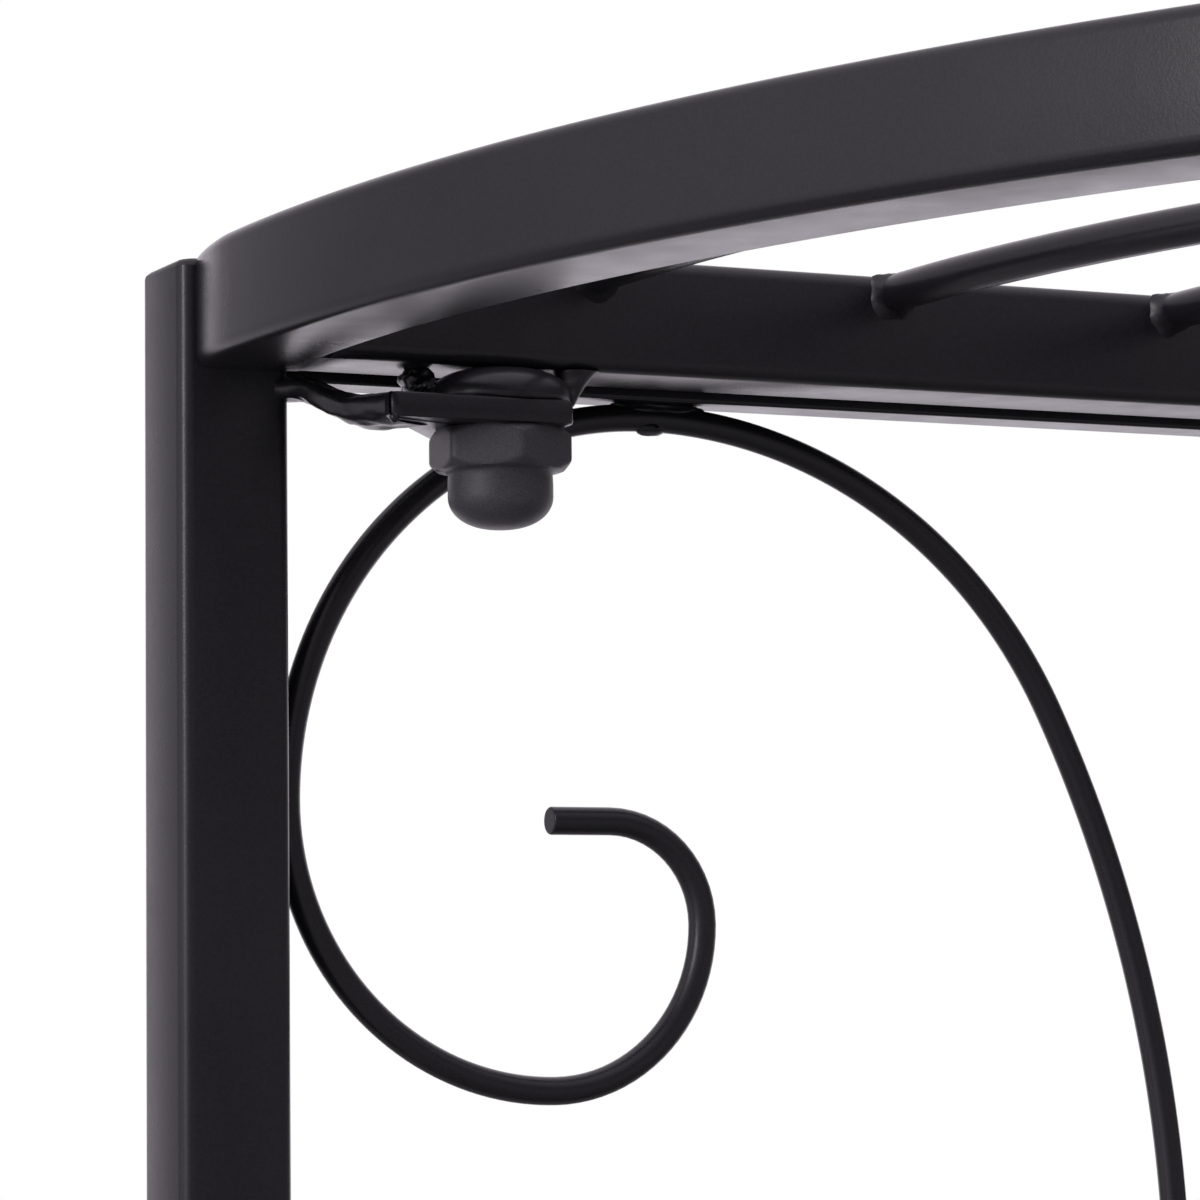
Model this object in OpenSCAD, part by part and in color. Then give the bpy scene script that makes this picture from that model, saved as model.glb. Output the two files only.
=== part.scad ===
// Half-round plant stand in square steel tube.
// Three D-shaped wire shelves bolt to a welded rear frame, which has wire
// scrollwork, and to two front legs.
// Millimetres, +Z up. The shelves' round side faces -Y, their straight side +Y.
// The origin is on the floor, at the centre of the stand's outer box.

/* [Shelves] */
// Outer radius of each half-round shelf
shelf_r = 250; // [242:1:270]
// Height of the upper shelf's top face above the floor
top_height = 720; // [700:5:800]
// Distance from one shelf's top face to the next
tier_pitch = 300; // [280:1:320]
// Diameter of the shelves' curved wires
wire_d = 4; // [3:0.5:5]
// Number of curved wires in each shelf
wire_count = 6; // [4:1:8]

/* [Square tube] */
// Side of the square tube
tube = 12; // [11:0.5:13]
// Wall thickness of the square tube
tube_wall = 1; // [0.8:0.1:1.2]
// Outer corner radius of the square tube
tube_corner = 1.5; // [1.3:0.1:2]

/* [Flat bar] */
// Thickness of the rear frame's flat bars
bar_t = 6; // [4:0.5:8]
// Height of the rear frame's flat bars
bar_h = 11; // [10:0.5:14]
// How far the rear frame's top sits below the upper shelf's top face
frame_drop = 1.5; // [1.2:0.1:2]
// Thickness of the braces under the shelf wires
brace_t = 3; // [2:0.5:4]
// Width of the braces under the shelf wires
brace_w = 12; // [8:1:14]

/* [Front legs] */
// Angle of each front leg from the shelf's front centre
leg_angle = 45; // [40:1:50]

/* [Fasteners] */
// Width of each bolting tab
tab_w = 20.5; // [20:0.5:22]
// Thickness of each bolting tab
tab_t = 2.5; // [2:0.5:3]
// Height of a stud's round head, between the shelf and the tab
head_h = 3.8; // [3:0.1:4.5]
// Diameter of a stud's round head
head_d = 14.5; // [13:0.5:15]
// Diameter of a stud's shank
stud_d = 8; // [6:1:8]
// Distance across the flats of a cap nut
nut_af = 13; // [12.5:0.5:14]
// Height of a cap nut's hexagon
nut_hex_h = 4.2; // [4:0.1:5]
// Diameter of a cap nut's dome
nut_dome_d = 10.8; // [10.5:0.1:11.5]

/* [Scrollwork] */
// Diameter of the scroll wire
scroll_d = 3; // [2.5:0.5:3.5]
// Length of the straight end of a scroll
scroll_tip = 7; // [4:1:9]
// Distance between the wires of two scrolls that stand back to back
back_to_back = 6; // [5:0.5:8]

/* [Hidden] */
$fn = 96;
LEFT = -1;
RIGHT = 1;
TIERS = ["lower", "middle", "upper"];
PANELS = ["lower", "upper"];

// Depth axis: shelf tube, then the rear posts, centred on the origin
rail_front_y = (shelf_r - 2 * tube) / 2;
rail_rear_y = rail_front_y + tube;
post_y = rail_rear_y + tube / 2;
post_x = shelf_r - tube / 2;
inner_x = shelf_r - tube;
bar_y = post_y - bar_t / 2;
leg_r = shelf_r + tube / 2;

// Heights
tier_top = [for (n = [0:2]) top_height - (2 - n) * tier_pitch];
frame_top = top_height - frame_drop;
foot_h = 4;
plug_h = 1;
plug_stem_h = 12;
plug_clear = 0.2;

// Shelf wires
wire_pitch = (shelf_r - tube / 2) / (wire_count + 1);
brace_gap = 0.5;

// Bolting points and tabs; heights are from a shelf's underside
stud_x = shelf_r - 31.1;
stud_y = rail_front_y + 2.5;
tab_x = shelf_r - 26.25;
tab_front_y = rail_front_y - 4.5;
tab_depth = 21.5;
tab_cut = [15, 20];
tab_under = -head_h - tab_t;
tab_hole_d = stud_d + 0.4;
// Where a rear tab's weld meets the tab, and how wide it is at its two ends
tab_weld_x = shelf_r - 23.5;
tab_weld_y = rail_front_y - 1.5;
tab_weld_w = 3.5;
post_weld_w = 5;
post_weld_h = 2.2;
post_weld_t = 0.1;
leg_stud_in = 9;
leg_tab_depth = 18.5;
shank_h = 8;

// Cap nut
nut_bore_h = 8.2;
nut_bore_d = stud_d + 0.1;
nut_neck_h = 0.6;
nut_chamfer = 0.8;
nut_turn = 25;

// Scroll wire, from the middle of its closed side to its tip: the radius of
// each arc, and the angles at which the arcs start and end
scroll_radii = [144, 55.5, 41.6, 30.2, 17.5, 10.9];
scroll_angles = [0, 26.6, 90, 180, 270, 360, 450];
scroll_last = len(scroll_radii) - 1;
// A trace of extra diameter at both ends of the second arc, where rounding would
// otherwise leave the wire in separate solids
joint_bead = 0.1;
collar_w = 6;
collar_wall = 1.2;
collar_clear = 0.1;

// Centre of arc n, with the middle of the closed side at the origin
function scroll_centre(n) =
    n == 0
    ? [-scroll_radii[0], 0]
    : scroll_centre(n - 1)
      + (scroll_radii[n - 1] - scroll_radii[n]) * [cos(scroll_angles[n]), sin(scroll_angles[n])];

// The curl's outermost points: how far it reaches sideways and upwards
scroll_reach = scroll_radii[3] - scroll_centre(3)[0];
scroll_rise = scroll_radii[1] + scroll_centre(1)[1];

// The scrolls hang from a rear bar, with a second bar under them
scroll_mid = -frame_drop - bar_h - scroll_d / 2 - scroll_rise;
scroll_bar_top = scroll_mid - scroll_rise - scroll_d / 2;
outer_scroll_x = inner_x - scroll_d / 2 - scroll_reach;
inner_scroll_x = outer_scroll_x - back_to_back;

// Each scroll's place, and the side that it opens towards
SCROLLS = [
    [-outer_scroll_x, LEFT], [-inner_scroll_x, RIGHT],
    [inner_scroll_x, LEFT], [outer_scroll_x, RIGHT]
];

POWDER_BLACK = [0.09, 0.09, 0.1];
NUT_BLACK = [0.13, 0.13, 0.14];
PLASTIC_BLACK = [0.05, 0.05, 0.05];

// A square with true round corners
module rounded_square(side, r) {
    square([side, side - 2 * r], center = true);
    square([side - 2 * r, side], center = true);
    for (x = [-1, 1], y = [-1, 1])
        translate([x * (side / 2 - r), y * (side / 2 - r)]) circle(r);
}

module tube_profile() {
    difference() {
        rounded_square(tube, tube_corner);
        rounded_square(tube - 2 * tube_wall, tube_corner - tube_wall);
    }
}

// ---- Rear posts and front legs ----

module upright() {
    translate([0, 0, foot_h]) linear_extrude(frame_top - foot_h) tube_profile();
}

module at_post(side) {
    translate([side * post_x, post_y, 0]) children();
}

// A front leg's place, where local +Y points in to the shelf's centre
module at_leg(side) {
    translate([0, rail_front_y, 0])
        rotate(side * leg_angle)
            translate([0, -leg_r, 0]) children();
}

module at_uprights() {
    for (side = [LEFT, RIGHT]) {
        at_post(side) children();
        at_leg(side) children();
    }
}

module rear_post(side) {
    color(POWDER_BLACK) at_post(side) upright();
}

module front_leg(side) {
    color(POWDER_BLACK) at_leg(side) upright();
}

module plug_stem() {
    linear_extrude(plug_stem_h)
        rounded_square(tube - 2 * tube_wall - 2 * plug_clear, tube_corner - tube_wall);
}

// Flat caps pressed into the tops of the tubes
module top_plugs() {
    color(PLASTIC_BLACK) at_uprights() translate([0, 0, frame_top]) {
        linear_extrude(plug_h) rounded_square(tube, tube_corner);
        translate([0, 0, -plug_stem_h]) plug_stem();
    }
}

module foot_plugs() {
    color(PLASTIC_BLACK) at_uprights() {
        linear_extrude(foot_h) rounded_square(tube, tube_corner);
        translate([0, 0, foot_h]) plug_stem();
    }
}

// ---- Shelves ----

// Half ring of square tube with a short straight tail at each end
module shelf_rim(top) {
    color(POWDER_BLACK) translate([0, rail_front_y, top - tube / 2]) {
        rotate(180) rotate_extrude(angle = 180) translate([post_x, 0]) tube_profile();
        for (side = [LEFT, RIGHT])
            translate([side * post_x, tube, 0])
                rotate([90, 0, 0]) linear_extrude(tube) tube_profile();
    }
}

// Straight tube between the rim's tails
module shelf_rail(top) {
    color(POWDER_BLACK)
        translate([-inner_x, rail_front_y + tube / 2, top - tube / 2])
            rotate([90, 0, 90]) linear_extrude(2 * inner_x) tube_profile();
}

// Curved wires, their tops level with the shelf's top face
module shelf_wires(top) {
    color(POWDER_BLACK) translate([0, rail_front_y, top - wire_d / 2]) rotate(180)
        for (n = [1:wire_count])
            rotate_extrude(angle = 180) translate([n * wire_pitch, 0]) circle(d = wire_d);
}

// One brace from the rail to the rim, and a slanted one each side of it
module shelf_braces(top) {
    reach = inner_x - brace_gap;
    color(POWDER_BLACK) translate([0, rail_front_y, top - wire_d - brace_t]) {
        translate([-brace_w / 2, -reach, 0]) cube([brace_w, reach, brace_t]);
        for (side = [LEFT, RIGHT])
            rotate(side * leg_angle)
                translate([-brace_w / 2, -reach, 0])
                    cube([brace_w, reach - wire_pitch, brace_t]);
    }
}

// ---- Rear frame ----

module flat_bar(top) {
    color(POWDER_BLACK)
        translate([-inner_x, bar_y, top - bar_h]) cube([2 * inner_x, bar_t, bar_h]);
}

// Flat tabs with a clearance hole and one corner cut off, each welded to its post
module rear_tabs(top) {
    near = tab_x - tab_w / 2;
    far = tab_x + tab_w / 2;
    back = tab_front_y + tab_depth;
    color(POWDER_BLACK) translate([0, 0, top - tube]) for (side = [0, 1])
        mirror([side, 0, 0]) {
            difference() {
                translate([0, 0, tab_under]) linear_extrude(tab_t) polygon([
                    [near, tab_front_y], [far, tab_front_y], [far, back - tab_cut[1]],
                    [far - tab_cut[0], back], [near, back]
                ]);
                translate([stud_x, stud_y, 2 * tab_under])
                    cylinder(d = tab_hole_d, h = -2 * tab_under);
            }
            hull() {
                translate([tab_weld_x, tab_weld_y, tab_under])
                    cube([tab_weld_w, tab_weld_w, tab_t]);
                translate([inner_x - post_weld_t, rail_rear_y, tube - frame_drop - bar_h - post_weld_h])
                    cube([post_weld_t, post_weld_w, post_weld_h]);
            }
        }
}

// Tabs that point from the front legs in under the rim
module leg_tabs(top) {
    color(POWDER_BLACK) for (side = [LEFT, RIGHT])
        at_leg(side) translate([0, tube / 2, top - tube + tab_under]) difference() {
            translate([-tab_w / 2, 0, 0]) cube([tab_w, leg_tab_depth, tab_t]);
            translate([0, leg_stud_in, -tab_t]) cylinder(d = tab_hole_d, h = 3 * tab_t);
        }
}

// ---- Studs and cap nuts ----

// The four bolting points of a shelf, at the height of its underside
module at_bolts(top) {
    translate([0, 0, top - tube]) for (side = [LEFT, RIGHT]) {
        translate([side * stud_x, stud_y, 0]) children();
        at_leg(side) translate([0, tube / 2 + leg_stud_in, 0]) children();
    }
}

// Round head with a rounded shoulder, on a plain shank
module stud() {
    shoulder = head_h - 1;
    rotate_extrude() polygon([
        [0, 0],
        for (a = [90:-15:0])
            [head_d / 2 - shoulder * (1 - cos(a)), shoulder * (sin(a) - 1)],
        [head_d / 2, -head_h],
        [0, -head_h]
    ]);
    translate([0, 0, tab_under - shank_h]) cylinder(d = stud_d, h = shank_h + tab_t);
}

module studs(top) {
    color(POWDER_BLACK) at_bolts(top) stud();
}

// Hexagon with chamfered corners, a short neck and a dome, bored blind
module cap_nut() {
    corner_r = nut_af / sqrt(3);
    wide_r = corner_r + 0.1;
    dome_r = nut_dome_d / 2;
    difference() {
        union() {
            intersection() {
                translate([0, 0, -nut_hex_h])
                    rotate(nut_turn) cylinder(r = corner_r, h = nut_hex_h, $fn = 6);
                rotate_extrude() polygon([
                    [0, 0], [nut_af / 2, 0], [wide_r, -nut_chamfer],
                    [wide_r, nut_chamfer - nut_hex_h], [nut_af / 2, -nut_hex_h],
                    [0, -nut_hex_h]
                ]);
            }
            translate([0, 0, -nut_hex_h - nut_neck_h]) cylinder(r = dome_r, h = 2 * nut_neck_h);
            translate([0, 0, -nut_hex_h - nut_neck_h]) intersection() {
                sphere(r = dome_r);
                translate([0, 0, -2 * dome_r]) cylinder(r = 2 * dome_r, h = 2 * dome_r);
            }
        }
        translate([0, 0, -nut_bore_h]) cylinder(d = nut_bore_d, h = nut_bore_h + 1);
    }
}

module cap_nuts(top) {
    color(NUT_BLACK) at_bolts(top) translate([0, 0, tab_under]) cap_nut();
}

// ---- Scrollwork ----

// From the middle of the closed side up to the curl's tip
module half_scroll() {
    for (n = [0:scroll_last])
        translate(scroll_centre(n)) rotate(scroll_angles[n]) {
            rotate_extrude(angle = scroll_angles[n + 1] - scroll_angles[n])
                translate([scroll_radii[n], 0]) circle(d = scroll_d);
            if (n == 1 || n == 2)
                translate([scroll_radii[n], 0]) sphere(d = scroll_d + joint_bead);
        }
    translate(scroll_centre(scroll_last) + [0, scroll_radii[scroll_last]])
        rotate([0, -90, 0]) cylinder(d = scroll_d, h = scroll_tip);
}

// One bent wire in the shape of a C
module scroll(n, top) {
    color(POWDER_BLACK) translate([SCROLLS[n][0], post_y, top + scroll_mid])
        rotate([90, 0, 0]) mirror([SCROLLS[n][1] == RIGHT ? 1 : 0, 0, 0]) {
            half_scroll();
            mirror([0, 1, 0]) half_scroll();
        }
}

// Square bands round each pair of scrolls that stand back to back
module scroll_collars(top) {
    hole = [back_to_back + scroll_d + 2 * collar_clear, scroll_d + 2 * collar_clear];
    color(POWDER_BLACK) for (side = [LEFT, RIGHT])
        translate([side * (outer_scroll_x - back_to_back / 2), post_y, top + scroll_mid])
            linear_extrude(collar_w, center = true) difference() {
                square(hole + 2 * [collar_wall, collar_wall], center = true);
                square(hole, center = true);
            }
}

rear_post(LEFT);  // rear_post_left
rear_post(RIGHT);  // rear_post_right
front_leg(LEFT);  // front_leg_left
front_leg(RIGHT);  // front_leg_right
top_plugs();
foot_plugs();
for (t = [0:2]) {
    shelf_rim(tier_top[t]);
    shelf_rail(tier_top[t]);
    shelf_wires(tier_top[t]);
    shelf_braces(tier_top[t]);
    flat_bar(tier_top[t] - frame_drop);
    rear_tabs(tier_top[t]);
    leg_tabs(tier_top[t]);
    studs(tier_top[t]);
    cap_nuts(tier_top[t]);
}
for (p = [0:1]) {
    top = tier_top[p + 1];
    flat_bar(top + scroll_bar_top);
    scroll_collars(top);
    for (n = [0:3])
        scroll(n, top);
}
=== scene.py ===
"""Looks of the half-round plant stand: smooth tube and wire work, welds, plugs and materials."""

import math

import bmesh
import bpy
import numpy as np
from mathutils import Matrix, Vector, noise


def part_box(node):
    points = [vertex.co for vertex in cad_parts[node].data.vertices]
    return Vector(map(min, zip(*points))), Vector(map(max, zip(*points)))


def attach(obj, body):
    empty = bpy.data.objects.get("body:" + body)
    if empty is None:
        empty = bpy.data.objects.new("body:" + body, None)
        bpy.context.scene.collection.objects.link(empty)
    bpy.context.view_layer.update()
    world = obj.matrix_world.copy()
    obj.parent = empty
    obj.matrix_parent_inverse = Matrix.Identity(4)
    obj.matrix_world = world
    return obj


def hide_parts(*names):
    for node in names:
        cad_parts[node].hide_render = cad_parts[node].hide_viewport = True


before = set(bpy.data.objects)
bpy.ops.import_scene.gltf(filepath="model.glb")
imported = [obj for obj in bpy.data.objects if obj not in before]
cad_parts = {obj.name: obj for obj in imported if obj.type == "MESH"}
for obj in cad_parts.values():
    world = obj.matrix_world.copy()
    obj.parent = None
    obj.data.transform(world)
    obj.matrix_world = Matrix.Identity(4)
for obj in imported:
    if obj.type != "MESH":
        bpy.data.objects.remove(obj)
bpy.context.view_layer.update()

MM = 0.001
TIERS = ("lower", "middle", "upper")
PANELS = {"lower": "middle", "upper": "upper"}
LEFT, RIGHT = -1, 1

# ---- Sizes worked out from the frame ----

rim_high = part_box("upper_shelf_rim")[1]
rail_low, rail_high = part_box("upper_shelf_rail")
post_low, post_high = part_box("rear_post_left")
TUBE = rail_high.z - rail_low.z
SHELF_R = rim_high.x
RAIL_Y = rail_low.y
REAR_Y = rail_high.y
INNER_X = rail_high.x
RIM_R = SHELF_R - TUBE / 2
TUBE_CORNER = 1.5 * MM
POST_X = SHELF_R - TUBE / 2
POST_Y = REAR_Y + TUBE / 2
LEG_ANGLE = math.radians(45)
LEG_R = SHELF_R + TUBE / 2
TOPS = {t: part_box(f"{t}_shelf_rim")[1].z for t in TIERS}
UNDERS = {t: TOPS[t] - TUBE for t in TIERS}

WIRE_R = 2 * MM
WIRE_COUNT = 6
WIRE_PITCH = RIM_R / (WIRE_COUNT + 1)

# ---- Camera ----

CAMERA_AT = (-0.40853, RAIL_Y - 0.42135, UNDERS["upper"] - 0.06649)
CAMERA_YAW = 25.341
CAMERA_PITCH = 5.252
CAMERA_ROLL = -0.647
CAMERA_LENS = 137.30


def make_camera():
    """A long lens a little below the upper shelf, turned to the right and tilted up."""
    data = bpy.data.cameras.new("camera")
    data.sensor_width = 36
    data.lens = CAMERA_LENS
    data.clip_start = 0.01
    data.clip_end = 50
    camera = bpy.data.objects.new("camera", data)
    bpy.context.scene.collection.objects.link(camera)
    yaw, pitch = math.radians(CAMERA_YAW), math.radians(CAMERA_PITCH)
    ahead = Vector((
        math.sin(yaw) * math.cos(pitch),
        math.cos(yaw) * math.cos(pitch),
        math.sin(pitch),
    ))
    turn = ahead.to_track_quat("-Z", "Y").to_matrix().to_4x4()
    camera.matrix_world = (
        Matrix.Translation(CAMERA_AT) @ turn @ Matrix.Rotation(math.radians(CAMERA_ROLL), 4, "Z")
    )
    bpy.context.scene.camera = camera


# ---- Studio ----

# Direction, where its glow starts and ends as a cosine, and its dimmest and brightest
STUDIO_GLOWS = (
    ((0.0, 1.0, 0.0), -0.4, 0.8, 0.30, 0.34),
    ((-1.0, -0.1, 0.1), 0.55, 1.0, 0.0, 0.55),
    ((0.45, 0.89, -0.05), 0.62, 0.93, 0.0, 1.0),
    ((0.0, 0.0, 1.0), 0.3, 1.0, 0.0, 0.6),
)
STUDIO_TINT = (1.0, 0.93, 1.03, 1)


def make_world():
    """White to the camera; for lighting, a soft studio that is bright behind and dark in front."""
    world = bpy.data.worlds.new("studio")
    bpy.context.scene.world = world
    world.use_nodes = True
    tree = world.node_tree
    tree.nodes.clear()
    add = tree.nodes.new
    link = tree.links.new
    coordinates = add("ShaderNodeTexCoord")

    def glow(toward, start, end, dim, bright):
        """Brightness that rises from dim to bright as a direction nears the one given."""
        dot = add("ShaderNodeVectorMath")
        dot.operation = "DOT_PRODUCT"
        dot.inputs[1].default_value = Vector(toward).normalized()
        link(coordinates.outputs["Generated"], dot.inputs[0])
        ramp = add("ShaderNodeMapRange")
        ramp.interpolation_type = "SMOOTHSTEP"
        ramp.inputs["From Min"].default_value = start
        ramp.inputs["From Max"].default_value = end
        ramp.inputs["To Min"].default_value = dim
        ramp.inputs["To Max"].default_value = bright
        link(dot.outputs["Value"], ramp.inputs["Value"])
        return ramp.outputs["Result"]

    total = None
    for settings in STUDIO_GLOWS:
        socket = glow(*settings)
        if total is not None:
            both = add("ShaderNodeMath")
            both.operation = "ADD"
            link(total, both.inputs[0])
            link(socket, both.inputs[1])
            socket = both.outputs[0]
        total = socket

    lit = add("ShaderNodeBackground")
    lit.inputs["Color"].default_value = STUDIO_TINT
    link(total, lit.inputs["Strength"])
    seen = add("ShaderNodeBackground")
    seen.inputs["Color"].default_value = (1, 1, 1, 1)
    path = add("ShaderNodeLightPath")
    mix = add("ShaderNodeMixShader")
    out = add("ShaderNodeOutputWorld")
    link(path.outputs["Is Camera Ray"], mix.inputs["Fac"])
    link(lit.outputs[0], mix.inputs[1])
    link(seen.outputs[0], mix.inputs[2])
    link(mix.outputs[0], out.inputs["Surface"])


STRIP_AT = (-2.3, -0.62, 1.24)
STRIP_AIM = (-0.25, 0.1, 0.7)
STRIP_WIDTH = 0.5
STRIP_HEIGHT = 0.8
STRIP_POWER = 9


def make_strip_light():
    """A soft box on the left, which shows in the rim's outer face and the posts' corners."""
    data = bpy.data.lights.new("strip_left", "AREA")
    data.shape = "RECTANGLE"
    data.size = STRIP_WIDTH
    data.size_y = STRIP_HEIGHT
    data.energy = STRIP_POWER
    lamp = bpy.data.objects.new("strip_left", data)
    lamp.location = STRIP_AT
    lamp.rotation_euler = (Vector(STRIP_AIM) - Vector(STRIP_AT)).to_track_quat("-Z", "Y").to_euler()
    lamp.visible_camera = False
    bpy.context.scene.collection.objects.link(lamp)


FLOOR_R = 1.6
FLOOR_ROUGH = 0.8
# How pale the floor is to light and to the camera, and how much it glows to the camera
FLOOR_BOUNCE = 0.3
FLOOR_PALE = 0.6
FLOOR_GLOW = 0.5


def make_floor():
    """A pale floor; what it throws back up is kept low, so that undersides stay black."""
    bm = bmesh.new()
    bmesh.ops.create_circle(bm, cap_ends=True, segments=128, radius=FLOOR_R)
    mesh = bpy.data.meshes.new("studio_floor")
    bm.to_mesh(mesh)
    bm.free()
    floor = bpy.data.objects.new("studio_floor", mesh)
    bpy.context.scene.collection.objects.link(floor)
    material = bpy.data.materials.new("studio_floor")
    material.use_nodes = True
    tree = material.node_tree
    shader = tree.nodes["Principled BSDF"]
    shader.inputs["Roughness"].default_value = FLOOR_ROUGH
    shader.inputs["Emission Color"].default_value = (1, 1, 1, 1)
    path = tree.nodes.new("ShaderNodeLightPath")
    for socket, unseen, seen in (
        ("Base Color", FLOOR_BOUNCE, FLOOR_PALE),
        ("Emission Strength", 0.0, FLOOR_GLOW),
    ):
        choice = tree.nodes.new("ShaderNodeMapRange")
        choice.inputs["To Min"].default_value = unseen
        choice.inputs["To Max"].default_value = seen
        tree.links.new(path.outputs["Is Camera Ray"], choice.inputs["Value"])
        tree.links.new(choice.outputs["Result"], shader.inputs[socket])
    mesh.materials.append(material)


# ---- Materials ----

COAT_IOR = 1.5
# Sizes of the slow and the finer changes of gloss, in millimetres
SLOW_SIZE = 22.0
STREAK_SIZE = 3.5
SLOW_GLOSS = 0.03
STREAK_GLOSS = 0.02
RELIEF = 0.05 * MM
DUST = (0.09, 0.085, 0.08)
DUST_MOST = 0.06
MATERIALS = {}


def powder(name, colour, rough, grain, grain_size, peel=0.0, peel_size=0.6, glint=0.0):
    """Black coat on steel: fine grain, orange peel, slow changes of gloss and a trace of dust."""
    material = bpy.data.materials.new(name)
    material.use_nodes = True
    tree = material.node_tree
    shader = tree.nodes["Principled BSDF"]
    shader.inputs["IOR"].default_value = COAT_IOR
    add = tree.nodes.new
    link = tree.links.new
    place = add("ShaderNodeTexCoord")

    def speckle(size, detail=2.0, harsh=0.5):
        """Noise whose lumps are about the given size in millimetres."""
        node = add("ShaderNodeTexNoise")
        node.inputs["Scale"].default_value = 1 / (size * MM)
        node.inputs["Detail"].default_value = detail
        node.inputs["Roughness"].default_value = harsh
        link(place.outputs["Object"], node.inputs["Vector"])
        return node.outputs["Fac"]

    def spread(socket, start, end, low, high):
        """A value between start and end, spread from low to high."""
        node = add("ShaderNodeMapRange")
        for field, value in (
            ("From Min", start), ("From Max", end), ("To Min", low), ("To Max", high),
        ):
            node.inputs[field].default_value = value
        link(socket, node.inputs["Value"])
        return node.outputs["Result"]

    fine = speckle(grain_size, 3.0, 0.6)
    slow = speckle(SLOW_SIZE, 4.0)
    streak = speckle(STREAK_SIZE, 2.0)

    both = add("ShaderNodeMath")
    both.operation = "ADD"
    link(spread(slow, 0.3, 0.7, rough - SLOW_GLOSS, rough + SLOW_GLOSS), both.inputs[0])
    link(spread(streak, 0.3, 0.7, -STREAK_GLOSS, STREAK_GLOSS), both.inputs[1])
    link(both.outputs[0], shader.inputs["Roughness"])

    tint = add("ShaderNodeMixRGB")
    tint.inputs["Color1"].default_value = (*[c * (1 - glint) for c in colour], 1)
    tint.inputs["Color2"].default_value = (*[c * (1 + 1.5 * glint) for c in colour], 1)
    link(spread(fine, 0.35, 0.75, 0.0, 1.0), tint.inputs["Fac"])
    dust = add("ShaderNodeMixRGB")
    dust.inputs["Color2"].default_value = (*DUST, 1)
    link(spread(slow, 0.5, 0.8, 0.0, DUST_MOST), dust.inputs["Fac"])
    link(tint.outputs["Color"], dust.inputs["Color1"])
    link(dust.outputs["Color"], shader.inputs["Base Color"])

    relief = add("ShaderNodeBump")
    relief.inputs["Strength"].default_value = grain
    relief.inputs["Distance"].default_value = RELIEF
    link(fine, relief.inputs["Height"])
    if peel:
        waves = add("ShaderNodeBump")
        waves.inputs["Strength"].default_value = peel
        waves.inputs["Distance"].default_value = RELIEF
        link(speckle(peel_size, 1.0), waves.inputs["Height"])
        link(waves.outputs["Normal"], relief.inputs["Normal"])
    link(relief.outputs["Normal"], shader.inputs["Normal"])
    return material


def make_materials():
    """Satin coat on the tube and wire, a duller and greyer nut, and dull plastic."""
    MATERIALS["powder_black"] = powder(
        "powder_black", (0.0125, 0.0115, 0.0145), rough=0.3,
        grain=0.25, grain_size=0.3, peel=0.1, peel_size=1.1, glint=0.3,
    )
    MATERIALS["nut_black"] = powder(
        "nut_black", (0.07, 0.067, 0.073), rough=0.45, grain=0.5, grain_size=0.16, glint=0.35,
    )
    MATERIALS["plastic_black"] = powder(
        "plastic_black", (0.012, 0.012, 0.0125), rough=0.42, grain=0.3, grain_size=0.4,
    )


# ---- Building blocks ----


# Corners sharper than this are rounded off on a piece that asks for a bevel
BEVEL_ANGLE = 25
# Steps in each rounded corner of an outline, and round a turned piece
CORNER_STEPS = 6
LATHE_STEPS = 72


def new_piece(name, bm, slot, replaces=(), smooth_angle=35, bevel=None):
    """A bmesh becomes a smooth-shaded piece of the stand, in place of the named CAD nodes."""
    bmesh.ops.recalc_face_normals(bm, faces=bm.faces)
    mesh = bpy.data.meshes.new(name)
    bm.to_mesh(mesh)
    bm.free()
    piece = bpy.data.objects.new(name, mesh)
    bpy.context.scene.collection.objects.link(piece)
    mesh.materials.append(MATERIALS[slot])
    mesh.shade_smooth()
    if bevel:
        edge = piece.modifiers.new("rounded_edges", "BEVEL")
        edge.width = bevel
        edge.segments = 3
        edge.limit_method = "ANGLE"
        edge.angle_limit = math.radians(BEVEL_ANGLE)
        edge.harden_normals = True
    else:
        mesh.set_sharp_from_angle(angle=math.radians(smooth_angle))
    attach(piece, "root")
    if replaces:
        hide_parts(*replaces)
    return piece


def sweep(bm, rings, closed=False):
    """Joins rings of points, all with the same number of points, into a closed skin."""
    made = [[bm.verts.new(p) for p in ring] for ring in rings]
    count = len(made[0])
    pairs = list(zip(made, made[1:]))
    if closed:
        pairs.append((made[-1], made[0]))
    for a, b in pairs:
        for i in range(count):
            j = (i + 1) % count
            bm.faces.new((a[i], a[j], b[j], b[i]))
    if not closed:
        bm.faces.new(list(reversed(made[0])))
        bm.faces.new(made[-1])


def rounded_square_points(side, radius):
    """Outline of a rounded square about the origin, in two dimensions."""
    steps = CORNER_STEPS
    half = side / 2 - radius
    points = []
    for n, (x, y) in enumerate(((1, 1), (-1, 1), (-1, -1), (1, -1))):
        for k in range(steps + 1):
            a = math.radians(90 * n + 90 * k / steps)
            points.append((x * half + radius * math.cos(a), y * half + radius * math.sin(a)))
    return points


def circle_points(radius, count):
    """Outline of a circle about the origin, in two dimensions."""
    return [
        (radius * math.cos(2 * math.pi * k / count), radius * math.sin(2 * math.pi * k / count))
        for k in range(count)
    ]


def along(points, outline, up):
    """Rings of an outline carried along a path; its second axis follows up as nearly as it can."""
    rings = []
    for n, p in enumerate(points):
        before, after = points[max(n - 1, 0)], points[min(n + 1, len(points) - 1)]
        ahead = (after - before).normalized()
        side = ahead.cross(up).normalized()
        over = side.cross(ahead).normalized()
        rings.append([p + side * x + over * y for x, y in outline])
    return rings


# ---- Uprights ----

TUBE_OUTLINE = rounded_square_points(TUBE, TUBE_CORNER)


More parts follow.
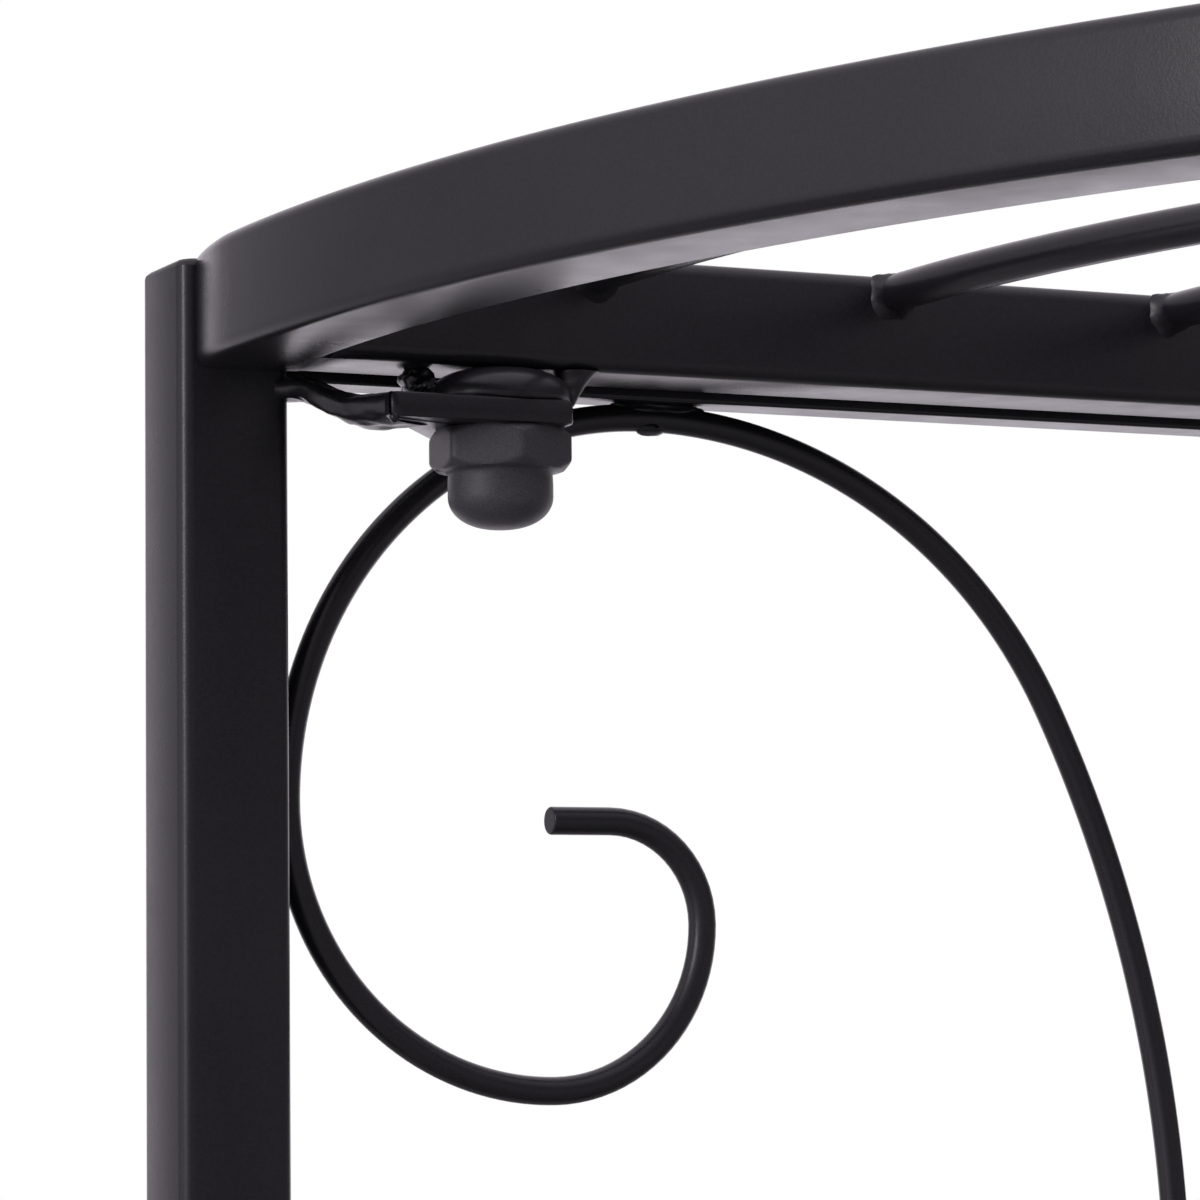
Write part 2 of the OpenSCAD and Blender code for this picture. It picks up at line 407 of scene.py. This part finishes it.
def upright_places():
    """Place and turn of each upright: the rear posts, then the front legs."""
    places = {}
    for side, word in ((LEFT, "left"), (RIGHT, "right")):
        places[f"rear_post_{word}"] = Matrix.Translation((side * POST_X, POST_Y, 0))
        places[f"front_leg_{word}"] = leg_matrix(side)
    return places


def leg_matrix(side):
    """A front leg's place, where local +Y points in to the shelf's centre."""
    return (
        Matrix.Translation((0, RAIL_Y, 0))
        @ Matrix.Rotation(side * LEG_ANGLE, 4, "Z")
        @ Matrix.Translation((0, -LEG_R, 0))
    )


def make_uprights():
    """Two rear posts and two front legs of square tube, in short lengths for even shading."""
    low, high = post_low.z, post_high.z
    steps = 60
    for name, place in upright_places().items():
        bm = bmesh.new()
        rings = []
        for n in range(steps + 1):
            z = low + (high - low) * n / steps
            rings.append([place @ Vector((x, y, z)) for x, y in TUBE_OUTLINE])
        sweep(bm, rings)
        new_piece(name + "_tube", bm, "powder_black", (name,))


# Rings of a plug's skin: how far in each one is, in millimetres, and how far up. A cap's
# heights are shares of its crown's, and a foot's are in millimetres.
CAP_RINGS = ((0, 0.0), (0.1, 0.35), (0.5, 0.7), (1.4, 0.92), (3.2, 1.0))
FOOT_RINGS = ((0.5, 0.0), (0.15, 0.12), (0.0, 0.5), (0.0, 3.5), (0.12, 3.9), (0.4, 4.0))
PLUG_CORNER_LEAST = 0.4 * MM


def make_plugs():
    """Slightly crowned caps in the tops of the uprights and plain feet under them."""
    plug_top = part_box("top_plugs")[1].z
    top = bmesh.new()
    foot = bmesh.new()
    for place in upright_places().values():
        for bm, base, shape, height in (
            (top, post_high.z, CAP_RINGS, plug_top - post_high.z),
            (foot, 0, FOOT_RINGS, MM),
        ):
            rings = []
            for inset, rise in shape:
                side = TUBE - 2 * inset * MM
                corner = max(TUBE_CORNER - inset * MM / 2, PLUG_CORNER_LEAST)
                outline = rounded_square_points(side, corner)
                rings.append([place @ Vector((x, y, base + rise * height)) for x, y in outline])
            sweep(bm, rings)
    new_piece("top_plug_caps", top, "plastic_black", ("top_plugs",), 50)
    new_piece("foot_plug_caps", foot, "plastic_black", ("foot_plugs",), 50)


# ---- Shelves ----

# How far each tail of the rim leans in by the time it meets its post
TAIL_LEAN = 1.8 * MM
TAIL_STEPS = 6
# How far the wires' ends reach into the rail
WIRE_BITE = 1 * MM
BRACE_W = 12 * MM
FLAT_BEVEL = 0.4 * MM


def make_rim(tier):
    """Half ring of tube with a straight tail at each end."""
    z = TOPS[tier] - TUBE / 2
    steps = 288
    tail = []
    for k in range(1, TAIL_STEPS + 1):
        tail.append((TUBE * k / TAIL_STEPS, TAIL_LEAN * (k / TAIL_STEPS) ** 1.5))
    path = [Vector((RIM_R - lean, RAIL_Y + back, z)) for back, lean in reversed(tail)]
    for n in range(steps + 1):
        a = math.pi * n / steps
        path.append(Vector((RIM_R * math.cos(a), RAIL_Y - RIM_R * math.sin(a), z)))
    path += [Vector((lean - RIM_R, RAIL_Y + back, z)) for back, lean in tail]
    bm = bmesh.new()
    sweep(bm, along(path, TUBE_OUTLINE, Vector((0, 0, 1))))
    new_piece(f"{tier}_rim_tube", bm, "powder_black", (f"{tier}_shelf_rim",))


def make_rail(tier):
    """Straight tube between the rim's tails."""
    z = TOPS[tier] - TUBE / 2
    y = RAIL_Y + TUBE / 2
    steps = 48
    path = [Vector((-INNER_X + 2 * INNER_X * n / steps, y, z)) for n in range(steps + 1)]
    bm = bmesh.new()
    sweep(bm, along(path, TUBE_OUTLINE, Vector((0, 0, 1))))
    new_piece(f"{tier}_rail_tube", bm, "powder_black", (f"{tier}_shelf_rail",))


def make_shelf_wires(tier):
    """Half rings of wire, evenly spaced from the shelf's centre out to the rim."""
    bm = bmesh.new()
    z = TOPS[tier] - WIRE_R
    for n in range(1, WIRE_COUNT + 1):
        radius = n * WIRE_PITCH
        steps = 48 + 24 * n
        path = [Vector((radius, RAIL_Y + WIRE_BITE, z))]
        for k in range(steps + 1):
            a = math.pi * k / steps
            path.append(Vector((radius * math.cos(a), RAIL_Y - radius * math.sin(a), z)))
        path.append(Vector((-radius, RAIL_Y + WIRE_BITE, z)))
        sweep(bm, along(path, circle_points(WIRE_R, 24), Vector((0, 0, 1))))
    new_piece(f"{tier}_curved_wires", bm, "powder_black", (f"{tier}_shelf_wires",), 60)


def box_piece(name, boxes, slot, replaces, bevel):
    """Rounded boxes: each a place matrix, a low corner and a high corner."""
    bm = bmesh.new()
    for place, low, high in boxes:
        low, high = Vector(low), Vector(high)
        made = bmesh.ops.create_cube(bm, size=1)
        middle = Matrix.Translation((low + high) / 2)
        size = Matrix.Diagonal((*(high - low), 1))
        bmesh.ops.transform(bm, matrix=place @ middle @ size, verts=made["verts"])
    return new_piece(name, bm, slot, replaces, bevel=bevel)


def make_flat_bars():
    """Bars between the rear posts: one behind each shelf and one under each scroll panel."""
    for name in [f"{t}_rear_bar" for t in TIERS] + [f"{p}_scroll_bar" for p in PANELS]:
        low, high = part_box(name)
        box_piece(name + "_flat", [(Matrix(), low, high)], "powder_black", (name,), FLAT_BEVEL)


def make_braces(tier):
    """Three flat bars under the wires: one straight ahead and one toward each leg."""
    low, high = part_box(f"{tier}_shelf_braces")
    half = BRACE_W / 2
    reach = RAIL_Y - low.y
    boxes = [(Matrix(), (-half, low.y, low.z), (half, RAIL_Y, high.z))]
    for side in (LEFT, RIGHT):
        place = Matrix.Translation((0, RAIL_Y, 0)) @ Matrix.Rotation(side * LEG_ANGLE, 4, "Z")
        boxes.append((place, (-half, -reach, low.z), (half, -WIRE_PITCH, high.z)))
    box_piece(f"{tier}_flat_braces", boxes, "powder_black", (f"{tier}_shelf_braces",), FLAT_BEVEL)


# ---- Scrollwork ----

SCROLL_R = 1.5 * MM
# Half a scroll is six arcs and a straight tip: radii and tip in millimetres, angles in degrees
SCROLL_RADII = (144, 55.5, 41.6, 30.2, 17.5, 10.9)
SCROLL_ANGLES = (0, 26.6, 90, 180, 270, 360, 450)
SCROLL_TIP = 7
SCROLL_STEP = 1.2


def half_scroll_path():
    """From the middle of the closed side to the tip of the curl, in millimetres, opening to -X."""
    centre = np.array((-SCROLL_RADII[0], 0.0))
    points = []
    for n, radius in enumerate(SCROLL_RADII):
        start, end = math.radians(SCROLL_ANGLES[n]), math.radians(SCROLL_ANGLES[n + 1])
        if n:
            last = SCROLL_RADII[n - 1]
            centre = centre + (last - radius) * np.array((math.cos(start), math.sin(start)))
        steps = max(int(radius * (end - start) / SCROLL_STEP), 8)
        for k in range(0 if n == 0 else 1, steps + 1):
            a = start + (end - start) * k / steps
            points.append(centre + radius * np.array((math.cos(a), math.sin(a))))
    tip = points[-1]
    points += [tip + np.array((-SCROLL_TIP * k / 4, 0)) for k in range(1, 5)]
    return points


def make_scrolls():
    """Four scrolls to a panel, in two pairs back to back; the second of each pair is mirrored."""
    half = half_scroll_path()
    whole = [(x, -z) for x, z in reversed(half[1:])] + [tuple(p) for p in half]
    for panel in PANELS:
        for n in range(1, 5):
            name = f"{panel}_scroll_{n}"
            low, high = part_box(name)
            mirror = n in (2, 4)
            closed_x = (low.x if mirror else high.x) + (SCROLL_R if mirror else -SCROLL_R)
            sign = -1 if mirror else 1
            y, z = (low.y + high.y) / 2, (low.z + high.z) / 2
            path = [Vector((closed_x + sign * px * MM, y, z + pz * MM)) for px, pz in whole]
            bm = bmesh.new()
            sweep(bm, along(path, circle_points(SCROLL_R, 20), Vector((0, 1, 0))))
            new_piece(f"{panel}_scroll_wire_{n}", bm, "powder_black", (name,), bevel=0.25 * MM)


# ---- Tabs, studs, nuts and collars ----

TAB_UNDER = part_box("upper_rear_tabs")[0].z - UNDERS["upper"]
TAB_TOP = TAB_UNDER + 2.5 * MM
TAB_EDGE = 0.35 * MM
TAB_FRONT_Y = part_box("upper_rear_tabs")[0].y
TAB_W = 20.5 * MM
TAB_X = SHELF_R - 26.25 * MM
TAB_HOLE_R = 4.2 * MM
TAB_BACK_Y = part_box("upper_rear_tabs")[1].y
# The cut-off corner toward the post: how much of the width and of the depth it takes
TAB_CUT = (15 * MM, 20 * MM)
TAB_CORNER = 1.3 * MM
LEG_TAB_DEPTH = 18.5 * MM
LEG_TAB_CORNER = 1.2 * MM
STUD_X = SHELF_R - 31.1 * MM
STUD_Y = RAIL_Y + 2.5 * MM
LEG_STUD_IN = 9 * MM


def bolt_places(tier):
    """The four bolting points of a shelf, at the height of its underside."""
    z = UNDERS[tier]
    places = []
    for side in (LEFT, RIGHT):
        places.append(Matrix.Translation((side * STUD_X, STUD_Y, z)))
        place = leg_matrix(side) @ Matrix.Translation((0, TUBE / 2 + LEG_STUD_IN, z))
        places.append(place)
    return places


def rounded_outline(corners, radius):
    """Outline of a polygon whose corners are rounded off."""
    steps = CORNER_STEPS
    points = []
    for n, corner in enumerate(corners):
        corner = Vector(corner)
        to_last = (Vector(corners[n - 1]) - corner).normalized()
        to_next = (Vector(corners[(n + 1) % len(corners)]) - corner).normalized()
        start, end = corner + to_last * radius, corner + to_next * radius
        for k in range(steps + 1):
            t = k / steps
            points.append(start * (1 - t) ** 2 + corner * 2 * t * (1 - t) + end * t * t)
    return points


def rounded_plate(low, high, radius):
    """Outline of a rectangle with round corners, given by two opposite corners."""
    corners = ((high[0], high[1]), (low[0], high[1]), (low[0], low[1]), (high[0], low[1]))
    return rounded_outline(corners, radius)


def split_long_sides(points, longest):
    """The same outline with no side longer than the length given."""
    made = []
    for n, p in enumerate(points):
        q = points[(n + 1) % len(points)]
        count = max(1, math.ceil(math.dist(p, q) / longest))
        for k in range(count):
            made.append((p[0] + (q[0] - p[0]) * k / count, p[1] + (q[1] - p[1]) * k / count))
    return made


def plate_with_hole(bm, place, outline, hole, hole_r, z_low, z_high):
    """A flat plate with one round hole, as a ring of quads round the hole."""
    outline = split_long_sides(outline, 1.2 * MM)
    shapes = []
    for grow, z in (
        (-1.0, z_low), (-0.3, z_low + 0.3 * TAB_EDGE), (0.0, z_low + TAB_EDGE),
        (0.0, z_high - TAB_EDGE), (-0.3, z_high - 0.3 * TAB_EDGE), (-1.0, z_high),
    ):
        ring = []
        for x, y in outline:
            out = Vector((x - hole[0], y - hole[1])).normalized() * grow * TAB_EDGE
            ring.append(place @ Vector((x + out.x, y + out.y, z)))
        shapes.append(ring)
    for z in (z_high, z_low):
        ring = []
        for x, y in outline:
            out = Vector((x - hole[0], y - hole[1])).normalized() * hole_r
            ring.append(place @ Vector((hole[0] + out.x, hole[1] + out.y, z)))
        shapes.append(ring)
    sweep(bm, shapes, closed=True)


def make_tabs(tier):
    """Flat bolting tabs with rounded edges: two on the rear posts, two on the legs."""
    rear = bmesh.new()
    z = UNDERS[tier]
    for side in (LEFT, RIGHT):
        near, far = side * (TAB_X - TAB_W / 2), side * (TAB_X + TAB_W / 2)
        corners = [
            (near, TAB_FRONT_Y), (far, TAB_FRONT_Y), (far, TAB_BACK_Y - TAB_CUT[1]),
            (far - side * TAB_CUT[0], TAB_BACK_Y), (near, TAB_BACK_Y),
        ]
        plate_with_hole(
            rear, Matrix.Translation((0, 0, z)), rounded_outline(corners, TAB_CORNER),
            (side * STUD_X, STUD_Y), TAB_HOLE_R, TAB_UNDER, TAB_TOP,
        )
    new_piece(f"{tier}_rear_tab_plates", rear, "powder_black", (f"{tier}_rear_tabs",))
    front = bmesh.new()
    for side in (LEFT, RIGHT):
        outline = rounded_plate((-TAB_W / 2, 0), (TAB_W / 2, LEG_TAB_DEPTH), LEG_TAB_CORNER)
        plate_with_hole(
            front, leg_matrix(side) @ Matrix.Translation((0, TUBE / 2, z)), outline,
            (0, LEG_STUD_IN), TAB_HOLE_R, TAB_UNDER, TAB_TOP,
        )
    new_piece(f"{tier}_leg_tab_plates", front, "powder_black", (f"{tier}_leg_tabs",))


def lathe(bm, place, profile):
    """A closed skin of revolution; the profile runs from one end of the axis to the other."""
    rings = []
    for radius, z in profile:
        rings.append([place @ Vector((x, y, z)) for x, y in circle_points(radius, LATHE_STEPS)])
    sweep(bm, rings)


# Radius of the tiny ring that ends a skin of revolution
TIP_R = 0.05 * MM
STUD_HEAD_R = 7.25 * MM
STUD_HEAD_H = 3.8 * MM
STUD_HEAD_RIM = 0.8 * MM
STUD_R = 4 * MM
STUD_END = TAB_UNDER - 8 * MM


def make_studs(tier):
    """Round heads with a full shoulder, on shanks that go through the tabs."""
    crown = STUD_HEAD_H - STUD_HEAD_RIM
    profile = [(TIP_R, 0)]
    for k in range(1, 19):
        a = math.radians(5 * k)
        bulge = math.sin(a) ** 0.75
        profile.append((STUD_HEAD_R * bulge, -crown * (1 - math.cos(a) ** 0.85)))
    profile += [
        (STUD_HEAD_R, -STUD_HEAD_H + 0.2 * MM), (STUD_HEAD_R - 0.2 * MM, -STUD_HEAD_H),
        (STUD_R, -STUD_HEAD_H), (STUD_R, STUD_END + 0.5 * MM),
        (STUD_R - 0.5 * MM, STUD_END), (TIP_R, STUD_END),
    ]
    bm = bmesh.new()
    for place in bolt_places(tier):
        lathe(bm, place, profile)
    new_piece(f"{tier}_stud_heads", bm, "powder_black", (f"{tier}_studs",), 50)


NUT_FLAT = 6.5 * MM
NUT_HEX_H = 4.2 * MM
NUT_DOME_R = 5.4 * MM
NUT_END = 10.2 * MM
NUT_TURN = math.radians(25)
NUT_EDGE = 0.11 * MM
NUT_SEAT_R = 5.0 * MM
# The chamfer's cone: its radius at either end of the hexagon, and how fast it widens
NUT_CONE_R = 6.55 * MM
NUT_CONE_SLOPE = 1.15
# Where the hexagon's underside turns into the dome: radius, and depth below the hexagon
NUT_NECK = ((5.75 * MM, 0.0), (5.5 * MM, 0.15 * MM))
NUT_WALL_H = 2.2 * MM


def soft_least(values, softness):
    """The least of the values, rounded off where two of them are nearly equal."""
    least = min(values)
    return least - softness * math.log(sum(math.exp((least - v) / softness) for v in values))


def hexagon_radius(angle, cone):
    """Distance out to a hexagon's flats, cut down by a chamfer's cone, with softened edges."""
    reach = [cone]
    for n in range(6):
        lean = math.cos(angle - NUT_TURN - math.radians(60 * n + 30))
        if lean > 0.3:
            reach.append(NUT_FLAT / lean)
    return soft_least(reach, NUT_EDGE)


def make_cap_nuts(tier):
    """Chamfered hexagons with soft edges, each running down into a full dome."""
    count = 144
    rings = [(TIP_R, 0.0), (NUT_SEAT_R, 0.0)]
    levels = 26
    for k in range(levels + 1):
        depth = NUT_HEX_H * k / levels
        end = min(depth, NUT_HEX_H - depth)
        rings.append((None, depth, NUT_CONE_R + NUT_CONE_SLOPE * end))
    dome_top = NUT_HEX_H + 0.1 * MM
    rings += [(radius, dome_top + depth) for radius, depth in NUT_NECK]
    for k in range(5):
        swell = 0.1 * MM * math.sin(math.pi / 2 * min(1, (k + 1) / 3))
        rings.append((NUT_DOME_R - 0.1 * MM + swell, dome_top + 0.4 * MM + NUT_WALL_H * k / 4))
    start = dome_top + 0.4 * MM + NUT_WALL_H
    for k in range(1, 19):
        a = math.radians(5 * k)
        radius = max(NUT_DOME_R * math.cos(a) ** 0.85, TIP_R)
        rings.append((radius, start + (NUT_END - start) * math.sin(a)))
    bm = bmesh.new()
    for place in bolt_places(tier):
        place = place @ Matrix.Translation((0, 0, TAB_UNDER))
        skin = []
        for radius, depth, *cone in rings:
            ring = []
            for k in range(count):
                a = 2 * math.pi * k / count
                reach = hexagon_radius(a, cone[0]) if cone else radius
                ring.append(place @ Vector((reach * math.cos(a), reach * math.sin(a), -depth)))
            skin.append(ring)
        sweep(bm, skin)
    new_piece(f"{tier}_cap_nut_bodies", bm, "nut_black", (f"{tier}_cap_nuts",), 60)


# In millimetres, like the insets of a band's skin
COLLAR_WALL = 1.2
COLLAR_W = 11.6 * MM


def make_collars(panel):
    """Flat bands, each bent round two scroll wires that stand back to back."""
    low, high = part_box(f"{panel}_scroll_collars")
    y = (low.y + high.y) / 2
    z = (low.z + high.z) / 2
    half_band = (high.z - low.z) / 2
    depth = high.y - low.y
    bm = bmesh.new()
    for middle in (low.x + COLLAR_W / 2, high.x - COLLAR_W / 2):
        skin = []
        for inset, rise in (
            (0.25, -half_band), (0.0, -half_band + 0.25 * MM),
            (0.0, half_band - 0.25 * MM), (0.25, half_band),
            (COLLAR_WALL - 0.1, half_band), (COLLAR_WALL, half_band - 0.1 * MM),
            (COLLAR_WALL, 0.1 * MM - half_band), (COLLAR_WALL - 0.1, -half_band),
        ):
            outline = rounded_plate(
                (inset * MM - COLLAR_W / 2, inset * MM - depth / 2),
                (COLLAR_W / 2 - inset * MM, depth / 2 - inset * MM),
                max(1.6 - inset, 0.5) * MM,
            )
            skin.append([Vector((middle + px, y + py, z + rise)) for px, py in outline])
        sweep(bm, skin, closed=True)
    new_piece(f"{panel}_collar_bands", bm, "powder_black", (f"{panel}_scroll_collars",), 50)


# ---- Welds ----


def lump(bm, at, radii, seed, place=Matrix(), wild=0.22, fineness=3):
    """A blob of weld: an egg shape whose skin wanders, rather coarsely and then finely."""
    made = bmesh.ops.create_icosphere(bm, subdivisions=fineness, radius=1)
    drift = Vector((seed * 7.3, seed * 3.1, seed * 1.7))
    for vert in made["verts"]:
        way = vert.co.copy()
        swell = 1 + wild * noise.noise(way * 1.3 + drift) + 0.4 * wild * noise.noise(way * 4 + drift)
        vert.co = place @ (Vector(at) + Vector([c * r * swell for c, r in zip(way, radii)]))


def flare(bm, place, slim, wide, length, seed, ceiling):
    """A fillet of weld round a wire, widest against the wall at local z = 0."""
    count, levels = 28, 7
    rings = []
    for n in range(levels + 1):
        t = n / levels
        ring = []
        for k in range(count):
            a = 2 * math.pi * k / count
            spot = Vector((math.cos(a) * 1.4, math.sin(a) * 1.4, seed * 2.3 + t))
            reach = slim + (wide - slim) * (1 - t) ** 2 * (1 + 0.9 * noise.noise(spot))
            height = length * t * (1 + 0.5 * noise.noise(spot + Vector((9, 0, 0))))
            point = place @ Vector((reach * math.cos(a), reach * math.sin(a), height))
            point.z = min(point.z, ceiling)
            ring.append(point)
        rings.append(ring)
    sweep(bm, rings)


def facing(at, way):
    """A place whose local z points the given way."""
    return Matrix.Translation(at) @ Vector(way).to_track_quat("Z", "Y").to_matrix().to_4x4()


# In plan, for the right side, from a post's inner corner out to the tab's cut corner
TAB_WELD_START = Vector((INNER_X + 0.5 * MM, REAR_Y + 1.6 * MM))
TAB_WELD_END = Vector((SHELF_R - 20.0 * MM, TAB_FRONT_Y + 4.0 * MM))
# In millimetres: where its underside and top start below the shelf, how far its top drops, and
# its half width at the start and how much that grows
TAB_WELD_LOW = -2.9
TAB_WELD_HIGH = -0.45
TAB_WELD_DROP = 2.9
TAB_WELD_HALF = (1.9, 1.9)
# How many lumps there are to a metre
TAB_WELD_GRAIN = 420
DRIP_R = (0.5 * MM, 0.5 * MM, 0.55 * MM)


def tab_weld(bm, side, z, seed):
    """A lumpy run of weld that drops from a post to its tab, getting deeper and wider."""
    start, end = TAB_WELD_START, TAB_WELD_END
    ahead = (end - start).normalized()
    across = Vector((-ahead.y, ahead.x))
    count, stations = 44, 30
    rings = []
    for n in range(stations + 1):
        t = n / stations
        fall = min(max((t - 0.1) / 0.6, 0), 1)
        fall = fall * fall * (3 - 2 * fall)
        middle = start + (end - start) * t
        low = TAB_WELD_LOW * MM + (TAB_UNDER + 2.7 * MM) * fall
        high = TAB_WELD_HIGH * MM - TAB_WELD_DROP * MM * fall
        half = (TAB_WELD_HALF[0] + TAB_WELD_HALF[1] * t) * MM
        calm = min(t, 1 - t, 0.15) / 0.15
        ring = []
        for k in range(count):
            a = 2 * math.pi * k / count
            c, s = math.cos(a), math.sin(a)
            out = half * math.copysign(abs(c) ** 0.6, c)
            height = (low + high) / 2 + (high - low) / 2 * math.copysign(abs(s) ** 0.6, s)
            spot = Vector((middle.x, out, height)) * TAB_WELD_GRAIN + Vector((0, 0, seed))
            lumps = (0.4 * noise.noise(spot) + 0.2 * noise.noise(spot * 2.7)) * calm * MM
            flat = middle + across * (out + c * lumps)
            ring.append(Vector((side * flat.x, flat.y, z + height + s * lumps)))
        rings.append(ring)
    sweep(bm, rings)
    drip = (side * (TAB_X + TAB_W / 2 - 0.7 * MM), TAB_FRONT_Y + 0.5 * MM, z + TAB_UNDER - 0.1 * MM)
    lump(bm, drip, DRIP_R, seed, wild=0.1)


# The head's lumps in millimetres: centre, radii and fineness
HEAD_LUMPS = (
    ((-7.9, 3.3, -1.5), (1.5, 2.6, 1.7), 4),
    ((-6.6, 2.4, -2.6), (1.6, 2.4, 1.3), 3),
)
# The web's inner edge, its reach under the tube and how much of that it loses on the way down
WEB_X = 6.6 * MM
WEB_Y = -0.6 * MM
WEB_REACH = (3.6, 3.3)
WEB_HALF_T = 2.3 * MM


def head_weld(bm, place, mirror, seed):
    """Beads that fix a stud's head under the tube: lumps on one side, a web on the other."""
    turned = place @ Matrix.Diagonal((mirror, 1, 1, 1))
    for n, (at, radii, fineness) in enumerate(HEAD_LUMPS):
        at = [c * MM for c in at]
        radii = [r * MM for r in radii]
        lump(bm, at, radii, seed + n, turned, 0.4, fineness)
    levels, count = 12, 30
    rings = []
    for n in range(levels + 1):
        t = n / levels
        ring = []
        for k in range(count):
            a = 2 * math.pi * k / count
            c, s = math.cos(a), math.sin(a)
            reach = (WEB_REACH[0] - WEB_REACH[1] * t ** 0.8) * MM
            wobble = 1 + 0.12 * noise.noise(Vector((c, s, 3 * t + seed)))
            x = WEB_X + reach / 2 + (reach / 2 + 0.6 * MM) * c * wobble
            y = WEB_Y + WEB_HALF_T * s * wobble
            ring.append(turned @ Vector((x, y, -STUD_HEAD_H * t)))
        rings.append(ring)
    sweep(bm, rings)


# Fills the gap that rounded corners leave between a rim's tail and the rail's end
FILLER = (1.7 * MM, TUBE - 3 * MM, 1.49 * MM)
# Across a brace and across a leg, in millimetres, where their beads sit
BRACE_TACKS = (-6.2, 6.2)
LEG_BEADS = (-4.2, -1.3, 1.6, 4.4)
# Half sizes of the beads at a rear bar's ends, at a brace and at a leg
CORNER_BEAD = (1.5 * MM, 1.1 * MM, 5.2 * MM)
BRACE_BEAD = (1.0 * MM, 1.4 * MM, 1.9 * MM)
LEG_BEAD = (1.9 * MM, 1.1 * MM, 0.9 * MM)
# A wire end's fillet: its widest radius and its length
FLARE_WIDE = 2.8 * MM
FLARE_LENGTH = 2.2 * MM


def make_welds(tier):
    """All of a shelf's welds: at the tabs and posts, the studs, the wires' ends and the legs."""
    z = UNDERS[tier]
    base = 10 * TIERS.index(tier)
    rear = bmesh.new()
    for side in (LEFT, RIGHT):
        tab_weld(rear, side, z, base + side)
        low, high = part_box(f"{tier}_rear_bar")
        corner = (side * INNER_X, high.y - 0.2 * MM, (low.z + high.z) / 2)
        lump(rear, corner, CORNER_BEAD, base + side + 2, wild=0.3)
    new_piece(f"{tier}_rear_welds", rear, "powder_black")

    shelf = bmesh.new()
    for n, place in enumerate(bolt_places(tier)):
        mirror = 1 if n < 2 else -1
        head_weld(shelf, place, mirror, base + 3 * n)
    for side in (LEFT, RIGHT):
        for n in range(1, WIRE_COUNT + 1):
            at = (side * n * WIRE_PITCH, RAIL_Y + 0.1 * MM, TOPS[tier] - WIRE_R)
            place = facing(at, (0, -1, 0))
            slim = WIRE_R * 0.96
            flare(shelf, place, slim, FLARE_WIDE, FLARE_LENGTH, base + side * n, TOPS[tier])
        x = side * (INNER_X + TUBE_CORNER / 2)
        for z_filler in (z + TUBE_CORNER / 2, TOPS[tier] - TUBE_CORNER / 2):
            middle = Matrix.Translation((x, RAIL_Y + TUBE / 2, z_filler))
            size = Matrix.Diagonal((*FILLER, 1))
            bmesh.ops.create_cube(shelf, size=1, matrix=middle @ size)
    brace_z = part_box(f"{tier}_shelf_braces")[0].z + 1.5 * MM
    for x in BRACE_TACKS:
        at = (x * MM, RAIL_Y - 0.4 * MM, brace_z)
        lump(shelf, at, BRACE_BEAD, base + x, wild=0.3)
    new_piece(f"{tier}_shelf_welds", shelf, "powder_black")

    legs = bmesh.new()
    for side in (LEFT, RIGHT):
        place = leg_matrix(side) @ Matrix.Translation((0, TUBE / 2, z + TAB_UNDER))
        for x in LEG_BEADS:
            at = (x * MM, 0.2 * MM, -0.1 * MM)
            lump(legs, at, LEG_BEAD, base + x + side, place, 0.3)
    new_piece(f"{tier}_leg_welds", legs, "powder_black")


# Half sizes of a scroll's beads: along the bar, under the wire there, and down the post
BAR_BEAD = (5.4 * MM, 1.5 * MM, 1.0 * MM)
UNDER_BEAD = (2.0 * MM, 1.2 * MM, 0.95 * MM)
POST_BEAD = (0.9 * MM, 1.5 * MM, 4.0 * MM)


def make_scroll_welds(panel):
    """Tacks where the scrolls touch the bars above and below them, and the posts."""
    half = half_scroll_path()
    top_in = -max(half, key=lambda p: p[1])[0] * MM
    curl_up = min(half, key=lambda p: p[0])[1] * MM
    bm = bmesh.new()
    for n in range(1, 5):
        low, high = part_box(f"{panel}_scroll_{n}")
        opens_left = n in (1, 3)
        top_x = (high.x - SCROLL_R - top_in) if opens_left else (low.x + SCROLL_R + top_in)
        y = (low.y + high.y) / 2
        for z in (low.z, high.z):
            rise = 1 if z == high.z else -1
            at = (top_x + 1.0 * MM, y, z - rise * 0.5 * MM)
            lump(bm, at, BAR_BEAD, n + rise, wild=0.25, fineness=4)
            at = (top_x + 0.6 * MM, y - 0.1 * MM, z - rise * 2.5 * MM)
            lump(bm, at, UNDER_BEAD, n + 5 + rise, wild=0.25)
        if n in (1, 4):
            x = low.x if opens_left else high.x
            middle = (low.z + high.z) / 2
            for z in (middle - curl_up, middle + curl_up):
                at = (x, y + 1.0 * MM, z)
                lump(bm, at, POST_BEAD, n + z, wild=0.25)
    new_piece(f"{panel}_scroll_welds", bm, "powder_black")


# ---- Build ----

make_camera()
make_world()
make_floor()
make_materials()
make_strip_light()
make_uprights()
make_plugs()
for tier_name in TIERS:
    make_rim(tier_name)
    make_rail(tier_name)
    make_shelf_wires(tier_name)
    make_braces(tier_name)
    make_tabs(tier_name)
    make_studs(tier_name)
    make_cap_nuts(tier_name)
    make_welds(tier_name)
make_flat_bars()
make_scrolls()
for panel_name in PANELS:
    make_collars(panel_name)
    make_scroll_welds(panel_name)

bpy.context.scene.view_settings.view_transform = "Standard"
